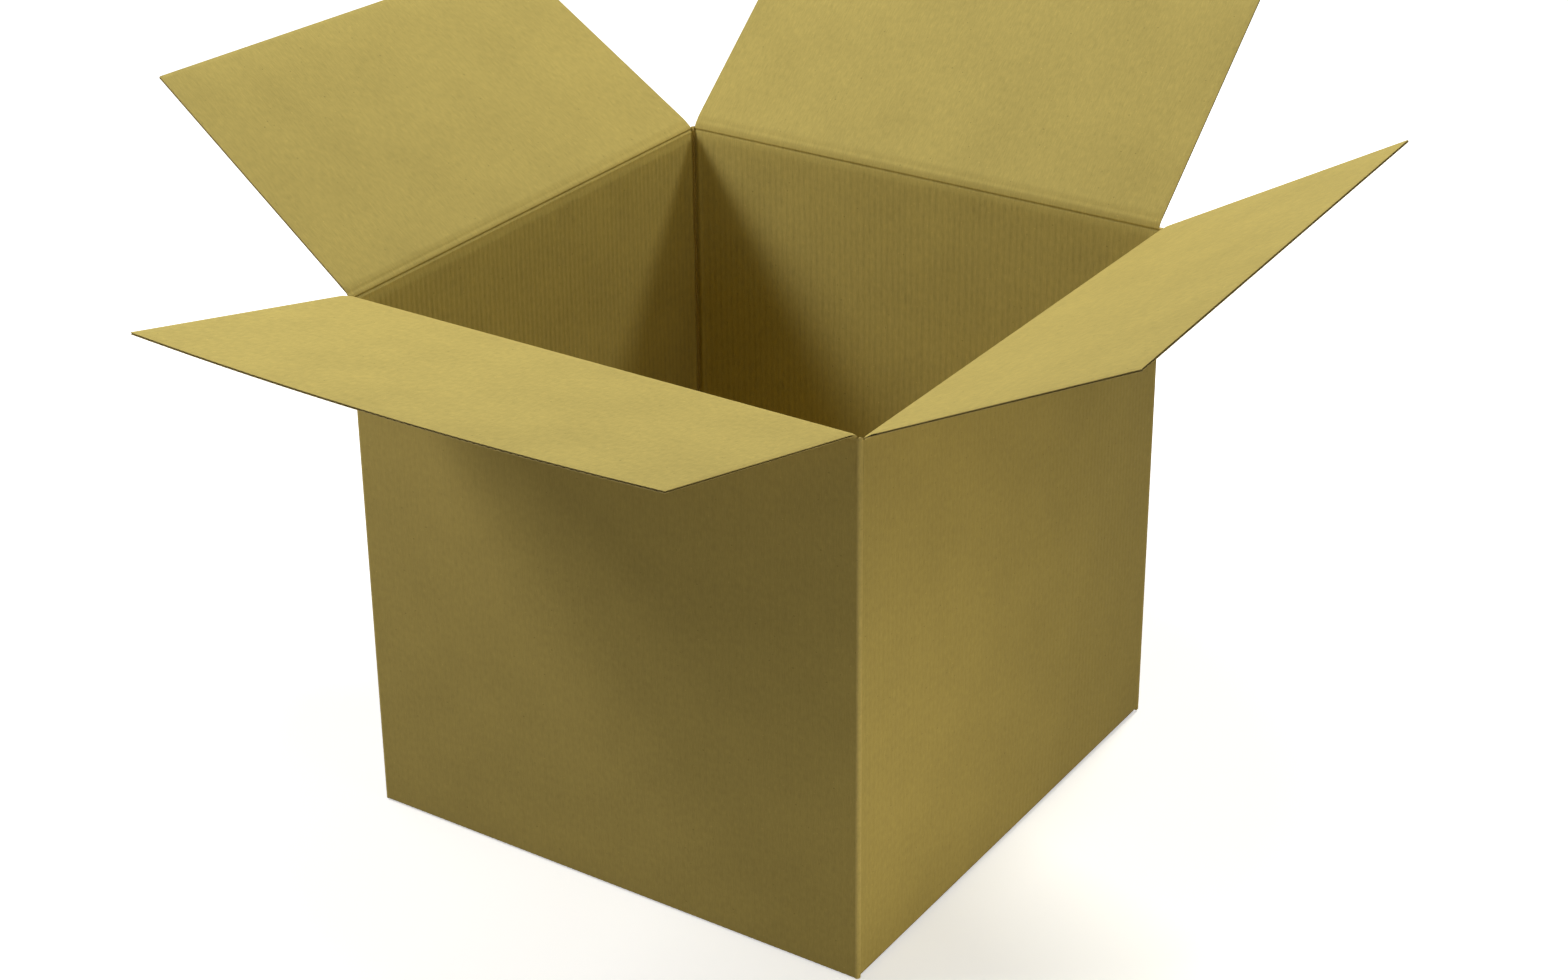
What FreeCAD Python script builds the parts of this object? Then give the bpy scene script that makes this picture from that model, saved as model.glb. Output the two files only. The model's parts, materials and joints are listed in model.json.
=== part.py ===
import FreeCAD, Part
import math
import os

# Open square shipping carton of single-wall corrugated board, folded from one blank.
# Millimetres. The origin is the centre of the underside, +Z is up, the front wall faces -Y.
# The front and back flaps are the outer pair, which closes over the left and right pair.

# Corrugated board
board = 3.0              # thickness over both liners
liner = 0.4              # each flat face sheet, with its glue
web = 0.3                # the fluted sheet between the liners
flute_pitch = 6.5        # one flute to the next, B flute

# Walls and folds
span_x = 500.0           # over the left and right walls
span_y = 500.0           # over the front and back walls
side_crease = 487.0      # height of the left and right flaps' hinge lines
layer_gap = 0.3          # between closed flaps that lie on each other
fold_radius = board      # outside of a fold that is sharp inside
corner_foot = 1.5        # floor to the lower end of an upright fold

# Scored creases of the top flaps
hinge_gap = 0.15         # hinge line outside the board's outer face
mitre_gap = 0.2          # each side of the score groove stands back this much
crush_run = 8.0          # hinge line to where the crushed flutes open again

# Slots between the flaps
outer_side_gap = 0.3     # outer flap's side edge inside the side wall's inner face
inner_side_gap = 0.6     # the same for an inner flap
meet_gap = 1.0           # between the tips of two closed top flaps
bottom_seam = 1.0        # between the tips of two bottom flaps

# Glued joint at the back right corner
lap_width = 35.0         # glue lap, inside the right wall
lap_end_gap = 12.0       # lap's ends short of the wall's ends, at the fold
lap_taper = 10.0         # further shortening at the lap's free edge
joint_gap = 0.6          # open line between the raw end and the fold

# How the top flaps stand
front_angle = 77.0       # outwards from upright
right_angle = 64.0
back_angle = 50.0
left_angle = 57.0
front_bow = 6.0          # middle of the far edge, bent outwards
right_lift = 16.0        # far corner at the back, twisted inwards
left_lift = 24.0         # far corner at the front, twisted inwards

# What follows from the sizes above
front_crease = side_crease + board + layer_gap
outer_inset = board + outer_side_gap
inner_inset = board + inner_side_gap
front_width = span_x - 2 * outer_inset
side_width = span_y - 2 * inner_inset
front_reach = span_y / 2 - bottom_seam / 2
side_reach = span_x / 2 - bottom_seam / 2
front_length = span_y / 2 + hinge_gap - meet_gap / 2
side_length = span_x / 2 + hinge_gap - meet_gap / 2
score_drop = hinge_gap + mitre_gap + board
slot_end = side_crease - score_drop


def vec(x, y, z):
    return FreeCAD.Vector(x, y, z)


def flat_face(points):
    return Part.Face(Part.makePolygon(points + points[:1]))


def on_wall(shape, half_span, height, turn):
    # From a wall drawn at the origin, facing -Y, to its place round the box
    shape.translate(vec(0, -half_span, height))
    shape.rotate(vec(0, 0, 0), vec(0, 0, 1), turn)
    return shape


# A wall with its bottom flap folded in, as one profile drawn across the wall.
# The outer face is y = 0 and the inside is +Y.
def wall_panel(width, crease, base, reach):
    x = -width / 2
    tip = crease - hinge_gap - mitre_gap
    points = [
        vec(x, 0, base + fold_radius),
        vec(x, 0, tip),
        vec(x, board, tip - board),
        vec(x, board, base + board),
        vec(x, reach, base + board),
        vec(x, reach, base),
        vec(x, fold_radius, base),
    ]
    edges = [Part.LineSegment(a, b).toShape() for a, b in zip(points, points[1:])]
    bend = fold_radius * (1 - math.sqrt(0.5))
    fold = Part.Arc(points[-1], vec(x, bend, base + bend), points[0])
    profile = Part.Face(Part.Wire(edges + [fold.toShape()]))
    return profile.extrude(vec(width, 0, 0))


# An upright fold between two walls, drawn for a corner at the origin with the box
# towards +X and +Y.
def corner_fold():
    z = corner_foot
    bend = fold_radius * (1 - math.sqrt(0.5))
    start = vec(fold_radius, 0, z)
    end = vec(0, fold_radius, z)
    points = [
        end,
        vec(0, inner_inset, z),
        vec(outer_inset, inner_inset, z),
        vec(outer_inset, 0, z),
        start,
    ]
    edges = [Part.LineSegment(a, b).toShape() for a, b in zip(points, points[1:])]
    edges.append(Part.Arc(start, vec(bend, bend, z), end).toShape())
    return Part.Face(Part.Wire(edges)).extrude(vec(0, 0, slot_end - corner_foot))


def place_fold(side_x, side_y):
    fold = corner_fold()
    if side_x > 0:
        fold = fold.mirror(vec(0, 0, 0), vec(1, 0, 0))
    if side_y > 0:
        fold = fold.mirror(vec(0, 0, 0), vec(0, 1, 0))
    fold.translate(vec(side_x * span_x / 2, side_y * span_y / 2, 0))
    return fold


# The joint's corner is square: the right wall's raw end runs past the back wall's end.
def joint_corner():
    corner = Part.makeBox(
        outer_inset, inner_inset, slot_end - corner_foot,
        vec(span_x / 2 - outer_inset, span_y / 2 - inner_inset, corner_foot))
    return corner


def joint_line():
    depth = board - 2 * liner
    return Part.makeBox(
        joint_gap, depth, slot_end - corner_foot,
        vec(span_x / 2 - board - joint_gap, span_y / 2 - depth, corner_foot))


# The lap is folded off the back wall and glued flat inside the right wall.
def glue_lap():
    x = span_x / 2 - 2 * board
    root = span_y / 2 - board
    low = 2 * board + lap_end_gap
    high = slot_end - lap_end_gap
    lap = flat_face([
        vec(x, root, low),
        vec(x, root, high),
        vec(x, root - lap_width, high - lap_taper),
        vec(x, root - lap_width, low + lap_taper),
    ])
    return lap.extrude(vec(board, 0, 0))


def box_body():
    parts = []
    for turn in (0, 180):
        panel = wall_panel(front_width, front_crease, 0, front_reach)
        parts.append(on_wall(panel, span_y / 2, 0, turn))
    for turn in (90, 270):
        panel = wall_panel(side_width, side_crease, board, side_reach)
        parts.append(on_wall(panel, span_x / 2, 0, turn))
    for side_x, side_y in ((-1, -1), (1, -1), (-1, 1)):
        parts.append(place_fold(side_x, side_y))
    parts.append(joint_corner())
    parts.append(glue_lap())
    body = parts[0].fuse(parts[1:]).cut(joint_line())
    return body.removeSplitter()


# How far a flap's far edge leaves the flat plane, inwards, at x along the crease
def far_offset(x, width, lift_start, lift_end, bow):
    t = x / width + 0.5
    return lift_start * (1 - t) + lift_end * t - 4 * bow * t * (1 - t)


def far_edge(start, end, bow):
    if bow == 0:
        return Part.LineSegment(start, end).toShape()
    middle = (start + end) * 0.5 - vec(0, 2 * bow, 0)
    curve = Part.BezierCurve()
    curve.setPoles([start, middle, end])
    return curve.toShape()


# The board of a flap: straight along the crease, bowed or twisted at the far edge
def flap_board(width, length, lift_start, lift_end, bow):
    a = vec(-width / 2, 0, 0)
    b = vec(width / 2, 0, 0)
    thick = vec(0, board, 0)
    root = Part.makePolygon([a, b, b + thick, a + thick, a])
    far_a = a + vec(0, lift_start, length)
    far_b = b + vec(0, lift_end, length)
    far = Part.Wire([
        far_edge(far_a, far_b, bow),
        Part.LineSegment(far_b, far_b + thick).toShape(),
        far_edge(far_b + thick, far_a + thick, bow),
        Part.LineSegment(far_a + thick, far_a).toShape(),
    ])
    return Part.makeLoft([root, far], True, True)


# The half of the score groove that is on the flap, with its outer tip at the hinge line
def score_wedge(width):
    x = -width / 2 - board
    tip = hinge_gap + mitre_gap
    wedge = flat_face([
        vec(x, -board, tip - board),
        vec(x, 3 * board, tip + 3 * board),
        vec(x, 3 * board, -board),
        vec(x, -board, -2 * board),
    ])
    return wedge.extrude(vec(width + 2 * board, 0, 0))


# The air spaces between liners and flutes, three-sided, closed at the crushed crease
# and open at the far edge. A half space is cut open along each side edge.
def flute_spaces(width, length, lift_start, lift_end, bow):
    count = round(width / flute_pitch)
    pitch = width / count
    inside = board - 2 * liner
    slant = web / math.sin(math.atan2(inside, pitch / 2))
    half_base = (pitch - slant) / 2
    depth = inside * (1 - slant / pitch)
    run = length + board - crush_run
    spaces = []
    for step in range(2 * count + 1):
        x = -width / 2 + step * pitch / 2
        offset = far_offset(x, width, lift_start, lift_end, bow)
        if step % 2 == 0:
            base, apex = board - liner, board - liner - depth
        else:
            base, apex = liner, liner + depth
        start = vec(x, offset * crush_run / length, crush_run)
        space = flat_face([
            start + vec(-half_base, base, 0),
            start + vec(half_base, base, 0),
            start + vec(0, apex, 0),
        ])
        spaces.append(space.extrude(vec(0, offset * run / length, run)))
    return Part.makeCompound(spaces)


def top_flap(width, length, lift_start=0.0, lift_end=0.0, bow=0.0):
    flap = flap_board(width, length, lift_start, lift_end, bow)
    flap = flap.cut(score_wedge(width))
    return flap.cut(flute_spaces(width, length, lift_start, lift_end, bow))


def open_flap(flap, angle, half_span, crease, turn):
    flap.rotate(vec(0, -hinge_gap, 0), vec(1, 0, 0), angle)
    return on_wall(flap, half_span, crease, turn)


def front_flap():
    flap = top_flap(front_width, front_length, bow=front_bow)
    return open_flap(flap, front_angle, span_y / 2, front_crease, 0)


def right_flap():
    flap = top_flap(side_width, side_length, lift_end=right_lift)
    return open_flap(flap, right_angle, span_x / 2, side_crease, 90)


def back_flap():
    flap = top_flap(front_width, front_length)
    return open_flap(flap, back_angle, span_y / 2, front_crease, 180)


def left_flap():
    flap = top_flap(side_width, side_length, lift_end=left_lift)
    return open_flap(flap, left_angle, span_x / 2, side_crease, 270)


nodes = {
    "box_body": box_body(),
    "front_flap": front_flap(),
    "right_flap": right_flap(),
    "back_flap": back_flap(),
    "left_flap": left_flap(),
}

os.makedirs("parts", exist_ok=True)
for name, shape in nodes.items():
    shape.exportStep("parts/" + name + ".step")
    print(name, len(shape.Solids), shape.isValid(), round(shape.Volume / 1000, 1), "cm3")
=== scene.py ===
import json
import math

import bmesh
import bpy
import numpy as np
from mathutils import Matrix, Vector


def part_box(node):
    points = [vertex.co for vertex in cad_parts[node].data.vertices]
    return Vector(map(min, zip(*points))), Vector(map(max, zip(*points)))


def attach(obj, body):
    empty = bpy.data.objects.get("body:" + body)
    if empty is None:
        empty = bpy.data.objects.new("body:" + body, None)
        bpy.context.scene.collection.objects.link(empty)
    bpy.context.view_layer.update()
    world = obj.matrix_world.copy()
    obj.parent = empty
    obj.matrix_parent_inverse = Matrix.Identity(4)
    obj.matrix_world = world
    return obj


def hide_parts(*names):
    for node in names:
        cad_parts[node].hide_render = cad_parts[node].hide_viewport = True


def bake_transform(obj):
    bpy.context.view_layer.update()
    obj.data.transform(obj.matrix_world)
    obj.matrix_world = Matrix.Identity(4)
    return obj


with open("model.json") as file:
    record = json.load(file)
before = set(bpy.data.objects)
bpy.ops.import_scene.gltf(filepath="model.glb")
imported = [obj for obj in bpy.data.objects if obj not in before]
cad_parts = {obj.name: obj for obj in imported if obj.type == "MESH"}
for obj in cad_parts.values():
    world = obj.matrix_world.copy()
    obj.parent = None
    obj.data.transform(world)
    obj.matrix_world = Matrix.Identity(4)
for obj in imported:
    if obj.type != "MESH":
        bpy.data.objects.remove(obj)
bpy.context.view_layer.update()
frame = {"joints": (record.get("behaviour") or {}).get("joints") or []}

# Corrugated board, in metres
board = {
    "thickness": 0.003,
    "liner": 0.00035,        # each face sheet
    "medium": 0.00025,       # the fluted sheet between them
    "flutePitch": 0.0065,
    "washboard": 0.00014,    # how far a face sheet dips between its flutes
    "hingeGap": 0.00015,     # hinge line outside the outer face
    "mitreGap": 0.0002,      # each side of a score groove stands back this much
}

# Which way each wall faces: degrees round from the front wall
wallTurns = {"front": 0, "right": 90, "back": 180, "left": 270}
reachOfTouch = 0.0001        # points this near to a face or an edge lie on it


def deselectAll():
    if bpy.context.mode != "OBJECT":
        bpy.ops.object.mode_set(mode="OBJECT")
    bpy.ops.object.select_all(action="DESELECT")


def selectWhere(test):
    # picks vertices by place, and the edges and faces between them
    mesh = bmesh.from_edit_mesh(bpy.context.object.data)
    for vertex in mesh.verts:
        vertex.select = bool(test(vertex.co))
    mesh.select_flush(True)
    mesh.select_flush(False)
    bmesh.update_edit_mesh(bpy.context.object.data)


def addScaled(addPrimitive, name, size, place, **settings):
    # adds a primitive of size 1 and gives it its real size and place
    deselectAll()
    addPrimitive(size=1, location=place, **settings)
    piece = bpy.context.object
    piece.name = name
    piece.scale = size
    bpy.ops.object.transform_apply(location=True, rotation=True, scale=True)
    return piece


def applyModifiers(piece):
    bpy.context.view_layer.objects.active = piece
    for modifier in list(piece.modifiers):
        bpy.ops.object.modifier_apply(modifier=modifier.name)


def readPoints(piece):
    points = np.zeros(len(piece.data.vertices) * 3)
    piece.data.vertices.foreach_get("co", points)
    return points.reshape(-1, 3)


def writePoints(piece, points):
    piece.data.vertices.foreach_set("co", np.ascontiguousarray(points, dtype=np.float32).ravel())
    piece.data.update()


def smoothStep(t):
    t = np.clip(t, 0.0, 1.0)
    return t * t * (3 - 2 * t)


def ontoWall(points, side):
    # from a wall drawn at the origin, facing -Y, to its place round the box
    turn = math.radians(wallTurns[side["name"]])
    x = points[:, 0]
    y = points[:, 1] - side["halfSpan"]
    placed = points.copy()
    placed[:, 0] = x * math.cos(turn) - y * math.sin(turn)
    placed[:, 1] = x * math.sin(turn) + y * math.cos(turn)
    return placed


# What the frame says of each side of the box
sides = {}
for joint in frame["joints"]:
    name = joint["name"].split("_")[0]
    place = Vector(joint["pos_m"])
    flapLow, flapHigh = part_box(name + "_flap")
    along = 0 if name in ("front", "back") else 1
    sides[name] = {
        "name": name,
        "body": joint["child"],
        "halfSpan": Vector((place.x, place.y)).length - board["hingeGap"],
        "crease": place.z,
        "width": flapHigh[along] - flapLow[along],
        "rest": math.radians(-joint["range_deg"][0] - 90),   # outwards from upright
    }
    sides[name]["pitch"] = sides[name]["width"] / round(sides[name]["width"] / board["flutePitch"])
slotEnd = sides["left"]["crease"] - board["hingeGap"] - board["mitreGap"] - board["thickness"]


# A flat sheet standing on edge: one flute's width is made, extruded row by row, and repeated
def flutedSheet(name, width, rows, columns):
    mergeReach = 0.00001
    count = round(width / board["flutePitch"])
    pitch = width / count
    sheet = addScaled(
        bpy.ops.mesh.primitive_grid_add, name, (pitch, rows[1] - rows[0], 1),
        (pitch / 2 - width / 2, 0, (rows[0] + rows[1]) / 2),
        x_subdivisions=columns, y_subdivisions=1, rotation=(math.radians(90), 0, 0))
    bpy.ops.object.mode_set(mode="EDIT")
    bpy.ops.mesh.select_mode(type="EDGE")
    bpy.ops.mesh.select_all(action="DESELECT")
    top = rows[1] - (rows[1] - rows[0]) / 2
    selectWhere(lambda place: place.z > top)
    for below, above in zip(rows[1:], rows[2:]):
        bpy.ops.mesh.extrude_region_move(TRANSFORM_OT_translate={"value": (0, 0, above - below)})
    bpy.ops.object.mode_set(mode="OBJECT")
    flutes = sheet.modifiers.new("flutes", "ARRAY")
    flutes.count = count
    flutes.use_relative_offset = False
    flutes.use_constant_offset = True
    flutes.constant_offset_displace = (pitch, 0, 0)
    flutes.use_merge_vertices = True
    flutes.merge_threshold = mergeReach
    applyModifiers(sheet)
    return sheet


# Where each piece's own stretch of paper starts along u, in metres
paperStarts = {
    "panelStep": 1.3,
    "innerFace": 0.37,
    "medium": 9.3,
    "fold": 5.7,
    "joint": 6.3,
    "lap": 7.1,
}


def layUv(sheet, offset):
    # u runs along the crease and v along the flutes, both in metres
    points = readPoints(sheet)
    while sheet.data.uv_layers:
        sheet.data.uv_layers.remove(sheet.data.uv_layers[0])
    layer = sheet.data.uv_layers.new(name="board")
    corners = np.zeros(len(sheet.data.loops), np.int32)
    sheet.data.loops.foreach_get("vertex_index", corners)
    uv = np.stack([points[corners, 0] + offset, points[corners, 2]], axis=1)
    layer.data.foreach_set("uv", uv.astype(np.float32).ravel())


def thicken(sheet, thickness):
    solidify = sheet.modifiers.new("thickness", "SOLIDIFY")
    solidify.thickness = thickness
    solidify.offset = -1
    solidify.use_even_offset = True
    solidify.material_offset = 1
    solidify.material_offset_rim = 2
    applyModifiers(sheet)


def setWearAndShade(piece, crease=0.0, rubbedAndLit=0.0, ribs=0.0):
    # how much each point shows of the score's groove, painted shade on the inner face; of the
    # crushed band beside it, a painted highlight, and of scuffed paper on the upright folds; and of
    # the flutes' lines, partly their tone and partly painted shade of the washboard ribs
    for name, values in (("crease", crease), ("rubbedAndLit", rubbedAndLit), ("ribs", ribs)):
        mask = piece.data.attributes.new(name, "FLOAT", "POINT")
        spread = np.zeros(len(piece.data.vertices), np.float32) + values
        mask.data.foreach_set("value", spread.astype(np.float32))


def finishPiece(piece, body, angle=35):
    deselectAll()
    piece.select_set(True)
    bpy.context.view_layer.objects.active = piece
    bpy.ops.object.shade_smooth_by_angle(angle=math.radians(angle))
    if body:
        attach(piece, body)


# Shader node helpers
def newGroup(name, inputs, outputs):
    group = bpy.data.node_groups.new(name, "ShaderNodeTree")
    for socket, kind in inputs:
        group.interface.new_socket(name=socket, in_out="INPUT", socket_type=kind)
    for socket, kind in outputs:
        group.interface.new_socket(name=socket, in_out="OUTPUT", socket_type=kind)
    return group


def addNode(tree, kind, links=None, **settings):
    node = tree.nodes.new(kind)
    for key, value in settings.items():
        setattr(node, key, value)
    for socket, source in (links or {}).items():
        if isinstance(source, bpy.types.NodeSocket):
            tree.links.new(source, node.inputs[socket])
        else:
            node.inputs[socket].default_value = source
    return node


def stretchedNoise(tree, vector, scale, detail, roughness=0.5):
    moved = addNode(tree, "ShaderNodeMapping", {"Vector": vector, "Scale": scale})
    return addNode(tree, "ShaderNodeTexNoise", {
        "Vector": moved.outputs["Vector"], "Scale": 1.0, "Detail": detail,
        "Roughness": roughness}).outputs["Fac"]


def remap(tree, value, low, high, toLow, toHigh):
    return addNode(tree, "ShaderNodeMapRange", {
        "Value": value, "From Min": low, "From Max": high,
        "To Min": toLow, "To Max": toHigh}).outputs["Result"]


def math2(tree, operation, first, second):
    return addNode(tree, "ShaderNodeMath", {0: first, 1: second}, operation=operation).outputs[0]


def multiplyColour(tree, colour, value):
    scaled = addNode(tree, "ShaderNodeVectorMath", {0: colour, "Scale": value}, operation="SCALE")
    return scaled.outputs["Vector"]


# How far the lines and specks of the paper change its tone, and the depth of its relief
specks = {
    "dark": -0.3,
    "light": 0.22,
    "darkCells": (105.0, 0.54, 0.58),    # cells to a metre, and how rare the specks are
    "lightCells": (125.0, 0.55, 0.59),
    "reliefDepth": 0.0003,
}


# Fibres that lie along the flutes, cloudy patches, and dark and light specks of kraft paper
def makeFibreGroup():
    group = newGroup("kraftFibres", [("Place", "NodeSocketVector")],
                     [("Tone", "NodeSocketFloat"), ("Dark", "NodeSocketFloat"),
                      ("Light", "NodeSocketFloat"), ("Height", "NodeSocketFloat")])
    inlet = addNode(group, "NodeGroupInput")
    outlet = addNode(group, "NodeGroupOutput")
    place = inlet.outputs["Place"]
    fibres = stretchedNoise(group, place, (820, 95, 1), 3, 0.6)
    clouds = stretchedNoise(group, place, (16, 12, 1), 3)
    patches = stretchedNoise(group, place, (150, 120, 1), 3)
    grain = stretchedNoise(group, place, (2300, 1500, 1), 2)
    tone = math2(group, "ADD", remap(group, fibres, 0.3, 0.7, -0.07, 0.07),
                 remap(group, clouds, 0.3, 0.7, -0.035, 0.035))
    tone = math2(group, "ADD", tone, remap(group, patches, 0.3, 0.7, -0.035, 0.035))
    tone = math2(group, "ADD", tone, remap(group, grain, 0.3, 0.7, -0.05, 0.05))
    group.links.new(tone, outlet.inputs["Tone"])
    for socket, cells in (("Dark", specks["darkCells"]), ("Light", specks["lightCells"])):
        scale, low, high = cells
        spots = addNode(group, "ShaderNodeTexVoronoi", {"Vector": place, "Scale": scale})
        rare = addNode(group, "ShaderNodeTexNoise", {
            "Vector": place, "Scale": 1.7 * scale, "Detail": 0.0})
        dots = remap(group, spots.outputs["Distance"], 0.05, 0.11, 1.0, 0.0)
        chosen = remap(group, rare.outputs["Fac"], low, high, 0.0, 1.0)
        group.links.new(math2(group, "MULTIPLY", dots, chosen), outlet.inputs[socket])
    height = math2(group, "ADD", math2(group, "MULTIPLY", fibres, 0.7),
                   math2(group, "MULTIPLY", grain, 0.3))
    group.links.new(height, outlet.inputs["Height"])
    return group


# Darker lines along the flutes, partly the paper's tone where the flutes touch it and partly painted
# shade of the washboard ribs: their place across the sheet is the u of the map
def makeFluteGroup():
    group = newGroup("fluteLines", [("Place", "NodeSocketVector"), ("Phase", "NodeSocketFloat")],
                     [("Line", "NodeSocketFloat")])
    inlet = addNode(group, "NodeGroupInput")
    outlet = addNode(group, "NodeGroupOutput")
    parts = addNode(group, "ShaderNodeSeparateXYZ", {"Vector": inlet.outputs["Place"]})
    sway = remap(group, stretchedNoise(group, inlet.outputs["Place"], (60, 9, 1), 2),
                 0.3, 0.7, -0.9, 0.9)
    turns = math2(group, "MULTIPLY", parts.outputs["X"], 2 * math.pi / board["flutePitch"])
    turns = math2(group, "ADD", math2(group, "ADD", turns, sway), inlet.outputs["Phase"])
    wave = addNode(group, "ShaderNodeMath", {0: turns}, operation="COSINE").outputs[0]
    uneven = stretchedNoise(group, inlet.outputs["Place"], (300, 30, 1), 3)
    line = math2(group, "MULTIPLY", remap(group, wave, -0.7, 0.9, 0.0, 1.0),
                 remap(group, uneven, 0.33, 0.67, 0.25, 1.0))
    group.links.new(line, outlet.inputs["Line"])
    return group


fibreGroup = makeFibreGroup()
fluteGroup = makeFluteGroup()


def useGroup(tree, group, links):
    node = tree.nodes.new("ShaderNodeGroup")
    node.node_tree = group
    for socket, source in links.items():
        if isinstance(source, bpy.types.NodeSocket):
            tree.links.new(source, node.inputs[socket])
        else:
            node.inputs[socket].default_value = source
    return node


def kraftMaterial(name, finish):
    material = bpy.data.materials.new(name)
    material.use_nodes = True
    tree = material.node_tree
    shader = tree.nodes["Principled BSDF"]
    place = addNode(tree, "ShaderNodeUVMap", uv_map="board").outputs["UV"]
    drawn = addNode(tree, "ShaderNodeMapping", {"Vector": place, "Scale": (1, finish["grain"], 1)})
    fibres = useGroup(tree, fibreGroup, {"Place": drawn.outputs["Vector"]})
    flutes = useGroup(tree, fluteGroup, {"Place": place, "Phase": finish["phase"]})
    # Painted marks: the score's groove is darkened as painted shade, the crushed band lightened as a
    # painted highlight (scuffed paper on the upright folds), and the flute lines darken the paper,
    # partly as painted shade of the washboard ribs
    crease = addNode(tree, "ShaderNodeAttribute", attribute_name="crease").outputs["Fac"]
    rubbedAndLit = addNode(tree, "ShaderNodeAttribute", attribute_name="rubbedAndLit").outputs["Fac"]
    ribs = addNode(tree, "ShaderNodeAttribute", attribute_name="ribs").outputs["Fac"]
    lines = math2(tree, "MULTIPLY", flutes.outputs["Line"], ribs)
    tone = math2(tree, "MULTIPLY", fibres.outputs["Tone"], finish["contrast"])
    for amount, mask in ((-finish["lines"], lines), (specks["dark"], fibres.outputs["Dark"]),
                         (specks["light"], fibres.outputs["Light"]),
                         (-finish["score"], crease), (finish["rubbedAndLit"], rubbedAndLit)):
        tone = math2(tree, "ADD", tone, math2(tree, "MULTIPLY", mask, amount))
    colour = multiplyColour(tree, finish["paper"], math2(tree, "ADD", tone, 1.0))
    tree.links.new(colour, shader.inputs["Base Color"])
    relief = addNode(tree, "ShaderNodeBump", {
        "Height": fibres.outputs["Height"], "Strength": finish["relief"],
        "Distance": specks["reliefDepth"]})
    tree.links.new(relief.outputs["Normal"], shader.inputs["Normal"])
    shader.inputs["Roughness"].default_value = finish["roughness"]
    shader.inputs["Specular IOR Level"].default_value = 0.2
    return material


# Finishes of the board: linear paper colour, strength of its fibres, flute lines (partly painted
# shade of the washboard ribs), painted shade in the score's groove, painted highlight on the crushed
# band (scuffed paper on the upright folds), and grain, above 1 where the fibres look shorter along
# the flutes
finishes = {
    "outsideKraft": {"paper": (0.48, 0.358, 0.098), "contrast": 1.0, "grain": 1.5, "lines": 0.03,
                     "phase": 0.0, "score": 0.0, "rubbedAndLit": 0.0, "relief": 0.35, "roughness": 0.75},
    # inside: painted shade in the score's groove and partly along the flute lines, and a painted
    # highlight on the crushed band
    "insideKraft": {"paper": (0.53, 0.423, 0.124), "contrast": 1.25, "grain": 1.2, "lines": 0.13,
                    "phase": 3.14, "score": 0.3, "rubbedAndLit": 0.06, "relief": 0.45, "roughness": 0.85},
    "foldKraft": {"paper": (0.53, 0.40, 0.125), "contrast": 1.2, "grain": 2.0, "lines": 0.0,
                  "phase": 0.0, "score": 0.0, "rubbedAndLit": 0.05, "relief": 0.5, "roughness": 0.85},
    "cutEdgeKraft": {"paper": (0.52, 0.40, 0.14), "contrast": 1.6, "grain": 1.0, "lines": 0.0,
                     "phase": 0.0, "score": 0.0, "rubbedAndLit": 0.0, "relief": 0.6, "roughness": 0.95},
    "flutedKraft": {"paper": (0.42, 0.31, 0.11), "contrast": 1.0, "grain": 1.0, "lines": 0.0,
                    "phase": 0.0, "score": 0.0, "rubbedAndLit": 0.0, "relief": 0.4, "roughness": 0.95},
}
outsideKraft, insideKraft, foldKraft, cutEdgeKraft, flutedKraft = [
    kraftMaterial(name, finish) for name, finish in finishes.items()]
print("materials ready")


def setMaterials(piece, *materials):
    piece.data.materials.clear()
    for material in materials:
        piece.data.materials.append(material)


# One panel of the folded blank: a bottom flap, a wall and a top flap in one run of board
panel = {
    "columns": 4,            # per flute, on the face sheets
    "mediumColumns": 10,     # per flute, on the fluted sheet
    "meetGap": 0.001,        # between two closed flaps, at top and bottom
    "foldRadius": 0.0036,    # bottom fold
    "bulge": 0.0015,         # middle of a wall, outwards
    "bandLow": -0.013,       # crushed band beside the top score, from the hinge line
    "bandHigh": 0.010,
    "bandFade": (0.009, 0.007),          # run over which it starts and ends
    "recess": 0.0009,        # how thin the crushed band gets
    "grooveReach": 0.0016,   # half the width of the score's line on the inner face
    "grooveDepth": 0.0009,
    "grooveBehind": 0.00025,             # how far the score shows on the outer face
    "lip": 0.0001,           # board pushed up above the score, then its place and its reach
    "lipAt": 0.0019,
    "lipReach": 0.0006,
    "foldReach": 0.0040,     # half the run of the bend
    "cornerBead": 0.0012,    # ridge inside, along an upright fold, then its place and its reach
    "beadAt": 0.0055,
    "beadReach": 0.0022,
    "beadFoot": (0.012, 0.02),           # it starts above the bottom fold, over this run
    "beadDip": 1.2,          # depth of the valley between ridge and fold, as a share of it
    "plainEdge": (0.008, 0.006),         # no ribs this near a wall's sides, inside and outside
    "edgePinch": 0.0006,     # cut edges are pressed thin, on each face, over this run
    "pinchReach": 0.004,
    "flapRibs": 0.15,        # how much of the flutes' lines shows on a flap
    "mediumStart": 0.013,
}
# Where the rows of a panel lie: up to a height from the hinge line, and how far apart
rowSteps = ((-0.018, 0.03), (-0.006, 0.002), (0.0, 0.00045), (0.006, 0.001), (0.016, 0.0025))
# Far corners twisted inwards at the start and end of the crease, and the middle bowed outwards
flapWarp = {
    "front": (0.0, 0.0, 0.006),
    "right": (0.0, 0.016, 0.0),
    "back": (0.0, 0.0, 0.0),
    "left": (0.0, 0.024, 0.0),
}
# Height of the score's line from the hinge line
grooveAt = {"front": -0.0042, "right": -0.0014, "back": -0.0042, "left": -0.0014}


def flapLength(side):
    return side["halfSpan"] + board["hingeGap"] - panel["meetGap"] / 2


def wallBase(side):
    return 0 if side["name"] in ("front", "back") else board["thickness"]


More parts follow.
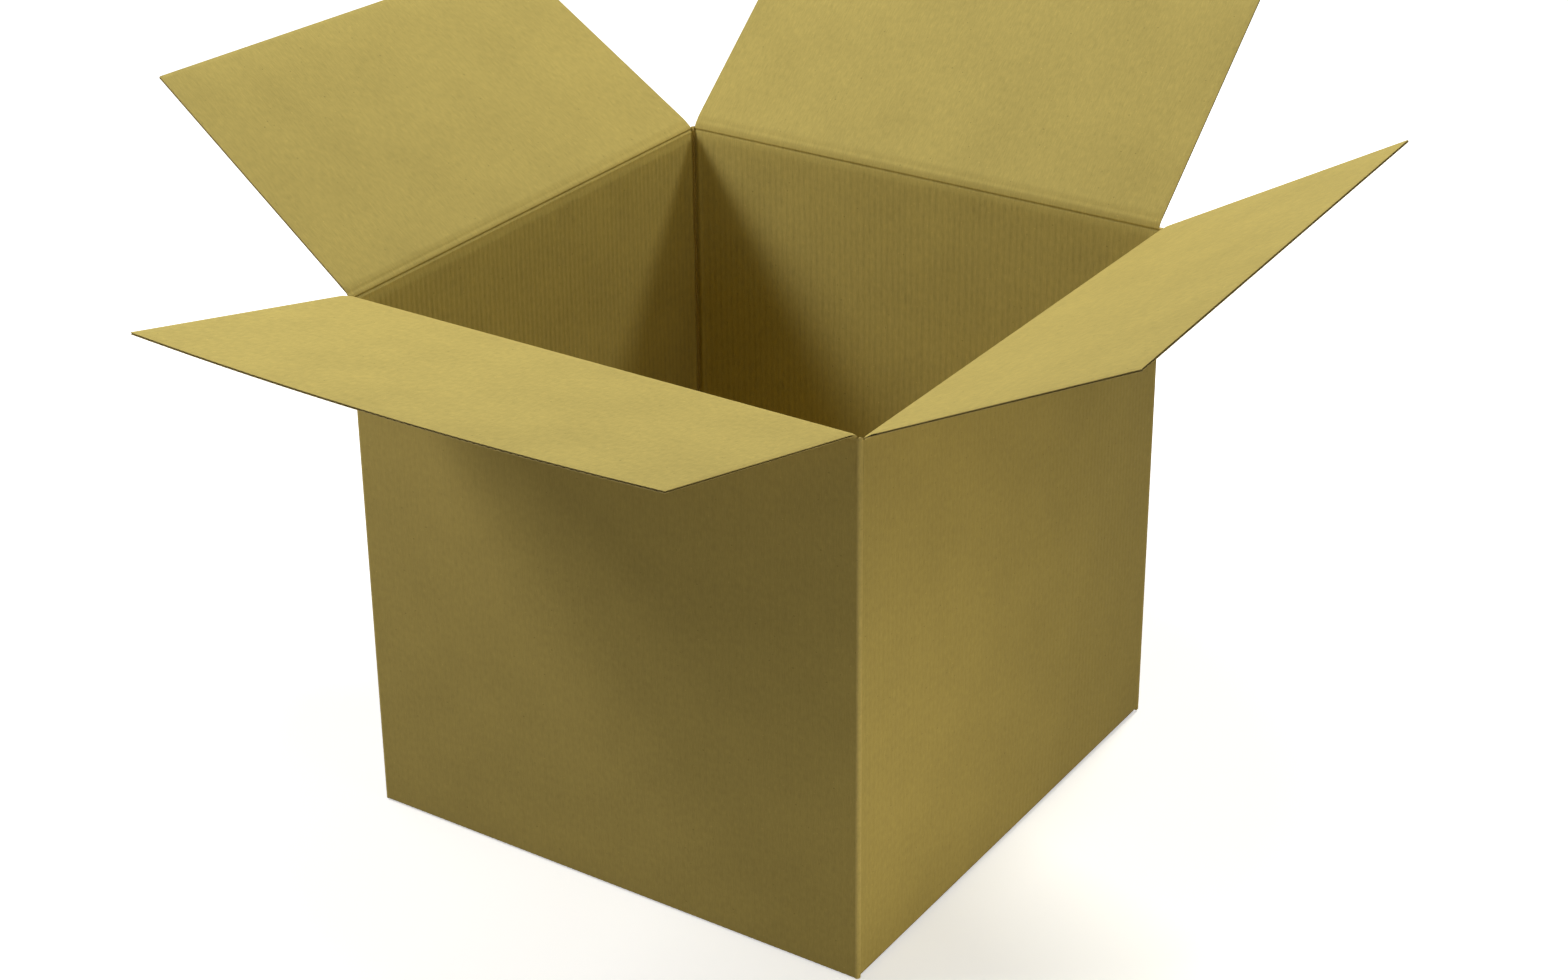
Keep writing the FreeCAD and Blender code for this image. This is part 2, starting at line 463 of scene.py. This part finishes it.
def panelRows(side):
    # heights along the board from the hinge line, first the tip of the bottom flap
    radius = panel["foldRadius"]
    bend = wallBase(side) + radius - side["crease"]
    tip = bend - radius * math.pi / 2 - (side["halfSpan"] - panel["meetGap"] / 2 - radius)
    length = flapLength(side)
    rows = [tip]
    steps = ((bend - radius * math.pi / 2, 0.05), (bend, 0.0008)) + rowSteps
    steps += ((length - 0.004, 0.03), (length, 0.0013))
    for end, step in steps:
        count = max(1, round((end - rows[-1]) / step))
        rows += list(np.linspace(rows[-1], end, count + 1)[1:])
    return rows


def farOffset(side, x):
    start, end, bow = flapWarp[side["name"]]
    t = x / side["width"] + 0.5
    return start * (1 - t) + end * t - 4 * bow * t * (1 - t)


def placeBoard(side, x, depth, along):
    # depth is inwards from the outer face; first the wall with its bottom fold, inwards and up
    radius = panel["foldRadius"]
    below = np.maximum(wallBase(side) + radius - side["crease"] - along, 0)
    turn = np.minimum(below / radius, math.pi / 2)
    level = np.maximum(below - radius * math.pi / 2, 0)
    deep = depth + board["hingeGap"]
    wallIn = board["hingeGap"] + radius * (1 - np.cos(turn)) + level + depth * np.cos(turn)
    wallUp = np.where(below > 0, wallBase(side) + radius - side["crease"], along)
    wallUp = wallUp + (depth - radius) * np.sin(turn)
    # then the flap, turned out about the hinge line
    angle = side["rest"]
    warped = deep + farOffset(side, x) * np.maximum(along, 0) / flapLength(side)
    flapIn = warped * math.cos(angle) - along * math.sin(angle)
    flapUp = warped * math.sin(angle) + along * math.cos(angle)
    # and a round bend between the two
    reach = panel["foldReach"]
    endIn = deep * math.cos(angle) - reach * math.sin(angle)
    endUp = deep * math.sin(angle) + reach * math.cos(angle)
    chord = np.hypot(endIn - deep, endUp + reach)
    pull = 2 * chord * math.tan(angle / 4) / math.sin(angle / 2)
    t = np.clip((along + reach) / (2 * reach), 0, 1)
    first, second = 2 * t**3 - 3 * t**2 + 1, t**3 - 2 * t**2 + t
    third, fourth = 3 * t**2 - 2 * t**3, t**3 - t**2
    bendIn = first * deep + third * endIn - fourth * pull * math.sin(angle)
    bendUp = -first * reach + second * pull + third * endUp + fourth * pull * math.cos(angle)
    inward = np.where(along < -reach, wallIn, np.where(along > reach, flapIn, bendIn))
    up = np.where(along < -reach, wallUp, np.where(along > reach, flapUp, bendUp))
    return np.stack([x, inward - board["hingeGap"], up + side["crease"]], axis=1)


def cutEdges(side, x, along):
    # 1 on a cut edge of the top flap, and 0 a few millimetres from it
    reach = panel["pinchReach"]
    inFlap = smoothStep((along + reach) / reach)
    toSide = side["width"] / 2 - np.abs(x)
    toFar = flapLength(side) - along
    return np.maximum(smoothStep(1 - toSide / reach) * inFlap, smoothStep(1 - toFar / reach))


def wallBulge(side, x, along):
    up = np.clip((along + side["crease"]) / side["crease"], 0, 1)
    return panel["bulge"] * np.cos(math.pi * x / side["width"]) * np.sin(math.pi * up)


def scoreShape(side, along):
    # the crushed band, the groove in it and the lip above the groove, each from 0 to 1; on the inner
    # face the groove also carries painted shade and the band a painted highlight
    start, end = panel["bandFade"]
    band = smoothStep((along - panel["bandLow"]) / start)
    band = band * smoothStep((panel["bandHigh"] - along) / end)
    fromGroove = along - grooveAt[side["name"]]
    groove = smoothStep(1 - np.abs(fromGroove) / panel["grooveReach"])
    lip = np.exp(-((fromGroove - panel["lipAt"]) / panel["lipReach"]) ** 2)
    return band, groove, lip


def ribStrength(side, along):
    # the flutes show on a wall, less on a flap, and not at all in the crushed band, in the relief
    # and in the flute lines' painted shade
    band, groove, lip = scoreShape(side, along)
    inFlap = smoothStep(along / panel["bandHigh"])
    return (1 - band) * (1 - (1 - panel["flapRibs"]) * inFlap)


def innerDepth(side, x, along):
    band, groove, lip = scoreShape(side, along)
    toSide = side["width"] / 2 - np.abs(x)
    plain = panel["plainEdge"][0]
    inWall = smoothStep((-along - panel["foldReach"]) / plain)
    clear = 1 - smoothStep(1 - toSide / plain) * inWall
    wave = (np.cos(x * 2 * math.pi / side["pitch"] + math.pi) - 1) / 2
    ribs = board["washboard"] * ribStrength(side, along) * clear
    depth = board["thickness"] + wave * ribs
    depth = depth - panel["recess"] * band - panel["grooveDepth"] * groove + panel["lip"] * lip
    bead = np.exp(-((toSide - panel["beadAt"]) / panel["beadReach"]) ** 2)
    bead = bead - panel["beadDip"] * np.exp(-(toSide / panel["beadReach"]) ** 2)
    start, run = panel["beadFoot"]
    aboveFold = smoothStep((along + side["crease"] - wallBase(side) - start) / run)
    depth = depth + panel["cornerBead"] * bead * inWall * aboveFold
    return depth - wallBulge(side, x, along) - panel["edgePinch"] * cutEdges(side, x, along)


def outerDepth(side, x, along):
    band, groove, lip = scoreShape(side, along)
    toSide = side["width"] / 2 - np.abs(x)
    clear = smoothStep(toSide / panel["plainEdge"][1])
    wave = (1 - np.cos(x * 2 * math.pi / side["pitch"])) / 2
    depth = board["washboard"] * wave * ribStrength(side, along) * clear
    depth = depth + panel["grooveBehind"] * groove
    return depth - wallBulge(side, x, along) + panel["edgePinch"] * cutEdges(side, x, along)


def faceSheet(side, inner):
    sheet = flutedSheet(side["name"] + "_sheet", side["width"], panelRows(side), panel["columns"])
    start = list(wallTurns).index(side["name"]) * paperStarts["panelStep"]
    layUv(sheet, start + (paperStarts["innerFace"] if inner else 0.0))
    points = readPoints(sheet)
    x, along = points[:, 0], points[:, 2]
    band, groove, lip = scoreShape(side, along)
    depth = (innerDepth if inner else outerDepth)(side, x, along)
    writePoints(sheet, ontoWall(placeBoard(side, x, depth, along), side))
    # inner face: painted shade in the score's groove, a painted highlight on the crushed band, and
    # the flute lines' partly painted shade
    setWearAndShade(sheet, groove if inner else 0, band, ribStrength(side, along))
    if inner:
        bpy.ops.object.mode_set(mode="EDIT")
        bpy.ops.mesh.select_all(action="SELECT")
        bpy.ops.mesh.flip_normals()
        bpy.ops.object.mode_set(mode="OBJECT")
    setMaterials(sheet, insideKraft if inner else outsideKraft, flutedKraft, cutEdgeKraft)
    thicken(sheet, board["liner"])
    return sheet


def flutedMedium(side):
    length = flapLength(side)
    rows = [panel["mediumStart"], 0.09, 0.17, length - 0.004, length - 0.002, length - 0.0002]
    sheet = flutedSheet(side["name"] + "_medium", side["width"], rows, panel["mediumColumns"])
    layUv(sheet, paperStarts["medium"])
    points = readPoints(sheet)
    x, along = points[:, 0], points[:, 2]
    low = outerDepth(side, x, along) + board["liner"]
    high = innerDepth(side, x, along) - board["liner"] - board["medium"]
    wave = (1 + np.cos(x * 2 * math.pi / side["pitch"])) / 2
    depth = low + (high - low) * wave
    writePoints(sheet, ontoWall(placeBoard(side, x, depth, along), side))
    setWearAndShade(sheet)
    setMaterials(sheet, flutedKraft, flutedKraft, cutEdgeKraft)
    thicken(sheet, board["medium"])
    return sheet


def joinSheets(name, sheets):
    deselectAll()
    for sheet in sheets:
        sheet.select_set(True)
    bpy.context.view_layer.objects.active = sheets[0]
    bpy.ops.object.join()
    piece = bpy.context.object
    piece.name = name
    return piece


def bendAtScore(piece):
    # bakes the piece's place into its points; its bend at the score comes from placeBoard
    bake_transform(piece)


def makePanel(side):
    piece = joinSheets(side["name"] + "_panel", [
        faceSheet(side, True), faceSheet(side, False), flutedMedium(side)])
    finishPiece(piece, None)
    bendAtScore(piece)
    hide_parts("box_body", side["name"] + "_flap")
    return piece


for side in sides.values():
    makePanel(side)
print("panels ready")


# An upright fold between two walls: a slim rod, rounded outside, which ends at the flaps' creases
uprightFold = {
    "size": (0.0033, 0.0036),
    "radius": 0.0029,
    "foot": 0.0015,
    "top": 0.0018,           # above the side flaps' crease
    "topRound": 0.0009,
    "jointGap": 0.0004,
    "rawEdge": 0.0009,       # depth of the open edge at the glued joint
    "rings": 60,             # cuts that let it puff out
    "firstRing": 0.02,
    "lastRing": 0.004,       # below its top
}
# A fold puffs out a little near its top: size, height of its middle and reach
foldPuff = {"size": 0.0007, "height": 0.463, "reach": 0.011, "sideways": 0.3, "skin": 0.005}


def makeUprightFold(name, signX, signY):
    halfX = sides["right"]["halfSpan"]
    halfY = sides["front"]["halfSpan"]
    sizeX, sizeY = uprightFold["size"]
    top = sides["right"]["crease"] + uprightFold["top"]
    height = top - uprightFold["foot"]
    place = (signX * (halfX - sizeX / 2), signY * (halfY - sizeY / 2), top - height / 2)
    rod = addScaled(bpy.ops.mesh.primitive_cube_add, name, (sizeX, sizeY, height), place)
    bpy.ops.object.mode_set(mode="EDIT")
    bpy.ops.mesh.select_mode(type="EDGE")
    bpy.ops.mesh.select_all(action="DESELECT")
    selectWhere(lambda at: abs(at.x) > halfX - reachOfTouch and abs(at.y) > halfY - reachOfTouch)
    bpy.ops.mesh.bevel(offset=uprightFold["radius"], segments=8, affect="EDGES")
    lastRing = top - uprightFold["lastRing"]
    for cut in np.linspace(uprightFold["firstRing"], lastRing, uprightFold["rings"]):
        bpy.ops.mesh.select_all(action="SELECT")
        bpy.ops.mesh.bisect(plane_co=(0, 0, cut), plane_no=(0, 0, 1))
    bpy.ops.mesh.select_all(action="DESELECT")
    selectWhere(lambda at: at.z > top - reachOfTouch)
    bpy.ops.mesh.bevel(offset=uprightFold["topRound"], segments=3, affect="EDGES")
    bpy.ops.object.mode_set(mode="OBJECT")
    layUv(rod, paperStarts["fold"])
    points = readPoints(rod)
    puff = foldPuff["size"] * np.exp(-((points[:, 2] - foldPuff["height"]) / foldPuff["reach"]) ** 2)
    outside = np.abs(points[:, 0]) + np.abs(points[:, 1]) > halfX + halfY - foldPuff["skin"]
    puff = puff * outside
    points[:, 0] += signX * puff * foldPuff["sideways"]
    points[:, 1] += signY * puff
    writePoints(rod, points)
    setWearAndShade(rod, rubbedAndLit=1)
    setMaterials(rod, foldKraft)
    finishPiece(rod, "carton")
    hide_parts("box_body")
    return rod


def makeGluedCorner():
    # the right wall's raw end stands open here, beside the back wall's fold
    halfX = sides["right"]["halfSpan"]
    halfY = sides["back"]["halfSpan"]
    sizeX, sizeY = uprightFold["size"]
    sizeX = sizeX - uprightFold["jointGap"]
    top = sides["right"]["crease"] + uprightFold["top"]
    height = top - uprightFold["foot"]
    place = (halfX - sizeX / 2, halfY - sizeY / 2, top - height / 2)
    corner = addScaled(
        bpy.ops.mesh.primitive_cube_add, "back_right_joint", (sizeX, sizeY, height), place)
    setMaterials(corner, foldKraft, flutedKraft)
    bpy.ops.object.mode_set(mode="EDIT")
    bpy.ops.mesh.select_mode(type="FACE")
    bpy.ops.mesh.select_all(action="DESELECT")
    selectWhere(lambda at: at.y > halfY - reachOfTouch)
    bpy.ops.mesh.inset(thickness=board["liner"])
    bpy.ops.mesh.extrude_region_move(
        TRANSFORM_OT_translate={"value": (0, -uprightFold["rawEdge"], 0)})
    corner.active_material_index = 1
    bpy.ops.object.material_slot_assign()
    bpy.ops.object.mode_set(mode="OBJECT")
    layUv(corner, paperStarts["joint"])
    setWearAndShade(corner, rubbedAndLit=1)
    finishPiece(corner, "carton")
    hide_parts("box_body")
    return corner


# The glue lap inside the right wall
glueLap = {"width": 0.035, "endGap": 0.012, "taper": 0.010, "round": 0.0004}


def makeGlueLap():
    thick = board["thickness"]
    root = sides["back"]["halfSpan"] - thick
    low = 2 * thick + glueLap["endGap"]
    high = slotEnd - glueLap["endGap"]
    place = (sides["right"]["halfSpan"] - 1.5 * thick, root - glueLap["width"] / 2,
             (low + high) / 2)
    lap = addScaled(
        bpy.ops.mesh.primitive_cube_add, "glue_lap", (thick, glueLap["width"], high - low), place)
    bpy.ops.object.mode_set(mode="EDIT")
    bpy.ops.mesh.select_mode(type="VERT")
    free = root - glueLap["width"] + reachOfTouch
    for sign, end in ((-1, high), (1, low)):
        bpy.ops.mesh.select_all(action="DESELECT")
        selectWhere(lambda at: at.y < free and abs(at.z - end) < reachOfTouch)
        bpy.ops.transform.translate(value=(0, 0, sign * glueLap["taper"]))
    bpy.ops.mesh.select_all(action="SELECT")
    bpy.ops.mesh.bevel(offset=glueLap["round"], segments=2, affect="EDGES")
    bpy.ops.object.mode_set(mode="OBJECT")
    layUv(lap, paperStarts["lap"])
    # the flute lines, partly painted shade of the ribs, show in full on the lap
    setWearAndShade(lap, ribs=1)
    setMaterials(lap, insideKraft)
    finishPiece(lap, "carton")
    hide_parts("box_body")
    return lap


makeUprightFold("front_left_fold", -1, -1)
makeUprightFold("front_right_fold", 1, -1)
makeUprightFold("back_left_fold", -1, 1)
makeGluedCorner()
makeGlueLap()
print("upright folds and glue lap ready")


# The camera stands where the photo was taken from
photo = {
    "width": 1568,
    "azimuth": 33.42,        # degrees round from the front wall
    "elevation": 24.88,
    "roll": -0.456,
    "place": (1.2501, -1.8681, 1.4112),
    "lens": 65.606,
    "shiftDown": 100,        # pixels of the photo's width
}

# The floor, and how it shows beside the box
stage = {
    "floorSize": 30,
    "floorDrop": 0.0005,     # below the box's underside
    "floorBounce": (0.44, 0.44, 0.42, 1),   # what the box's walls get back from the floor
    "floorSeen": (0.9, 0.9, 0.9, 1),
    "floorGlow": 0.52,       # beside the box, and 1 beyond the last of its shadow
    "shadowReach": (0.45, 1.3),
    "world": 0.03,
}


def seenDirectly(tree):
    # 1 for what the camera sees, itself or in gloss and glass
    path = addNode(tree, "ShaderNodeLightPath")
    seen = math2(tree, "MAXIMUM", path.outputs["Is Camera Ray"], path.outputs["Is Glossy Ray"])
    return math2(tree, "MAXIMUM", seen, path.outputs["Is Transmission Ray"])


def makeCamera():
    data = bpy.data.cameras.new("photoView")
    camera = bpy.data.objects.new("photoView", data)
    bpy.context.scene.collection.objects.link(camera)
    camera.location = photo["place"]
    camera.rotation_mode = "XYZ"
    camera.rotation_euler = (math.radians(90 - photo["elevation"]), 0,
                             math.radians(photo["azimuth"]))
    camera.rotation_euler.rotate_axis("Z", math.radians(photo["roll"]))
    data.sensor_width = 36
    data.lens = photo["lens"]
    data.shift_y = -photo["shiftDown"] / photo["width"]
    bpy.context.scene.camera = camera


def makeFloor():
    deselectAll()
    bpy.ops.mesh.primitive_plane_add(
        size=stage["floorSize"], location=(0, 0, -stage["floorDrop"]))
    floor = bpy.context.object
    floor.name = "floor"
    material = bpy.data.materials.new("paleFloor")
    material.use_nodes = True
    tree = material.node_tree
    shader = tree.nodes["Principled BSDF"]
    seen = seenDirectly(tree)
    paint = addNode(tree, "ShaderNodeMix", {"Factor": seen}, data_type="RGBA")
    paint.inputs["A"].default_value = stage["floorBounce"]
    paint.inputs["B"].default_value = stage["floorSeen"]
    tree.links.new(paint.outputs["Result"], shader.inputs["Base Color"])
    place = addNode(tree, "ShaderNodeTexCoord").outputs["Object"]
    away = addNode(tree, "ShaderNodeVectorMath", {0: place}, operation="LENGTH").outputs["Value"]
    near, far = stage["shadowReach"]
    glow = remap(tree, away, near, far, stage["floorGlow"], 1.0)
    tree.links.new(math2(tree, "MULTIPLY", seen, glow), shader.inputs["Emission Strength"])
    shader.inputs["Emission Color"].default_value = (1, 1, 1, 1)
    shader.inputs["Roughness"].default_value = 1.0
    shader.inputs["Specular IOR Level"].default_value = 0.0
    floor.data.materials.append(material)


# Soft lamps, all aimed at the middle of the box: place, size, power in watts and colour
lampAim = (0, 0, 0.3)
lamps = {
    "overLeft": {"place": (-1.5, 0.0, 2.6), "size": 1.2, "power": 8},
    "overBack": {"place": (0.3, 1.4, 2.4), "size": 0.5, "power": 34, "colour": (1, 0.98, 0.9)},
    "overRight": {"place": (1.5, 0.0, 2.6), "size": 1.2, "power": 4.5},
    "highLeft": {"place": (-1.25, -0.7, 1.9), "size": 0.4, "power": 9},
    "nearLeft": {"place": (-0.95, -0.95, 1.3), "size": 0.4, "power": 7},
    "lowRight": {"place": (3.0, -0.5, 1.0), "size": 1.2, "power": 6, "colour": (1, 0.95, 0.6)},
    "nearRight": {"place": (0.7, -0.3, 0.12), "size": 0.3, "power": 1, "colour": (1, 0.97, 0.8)},
    "lowFront": {"place": (0.4, -2.6, 0.8), "size": 1.0, "power": 5},
}


def makeLamp(name, place, size, power, colour=(1, 1, 1)):
    data = bpy.data.lights.new(name, "AREA")
    data.shape = "SQUARE"
    data.size = size
    data.energy = power
    data.color = colour
    lamp = bpy.data.objects.new(name, data)
    bpy.context.scene.collection.objects.link(lamp)
    lamp.location = place
    lamp.visible_camera = False
    aim = Vector(lampAim) - Vector(place)
    lamp.rotation_euler = aim.to_track_quat("-Z", "Y").to_euler()


def makeWorld(strength):
    world = bpy.data.worlds.new("studio")
    bpy.context.scene.world = world
    world.use_nodes = True
    tree = world.node_tree
    background = tree.nodes["Background"]
    background.inputs["Color"].default_value = (1, 1, 1, 1)
    glow = remap(tree, seenDirectly(tree), 0, 1, strength, 1.0)
    tree.links.new(glow, background.inputs["Strength"])


makeCamera()
makeFloor()
for name, lamp in lamps.items():
    makeLamp(name, **lamp)
makeWorld(stage["world"])
bpy.context.scene.view_settings.view_transform = "Standard"
print("camera, floor and light ready")
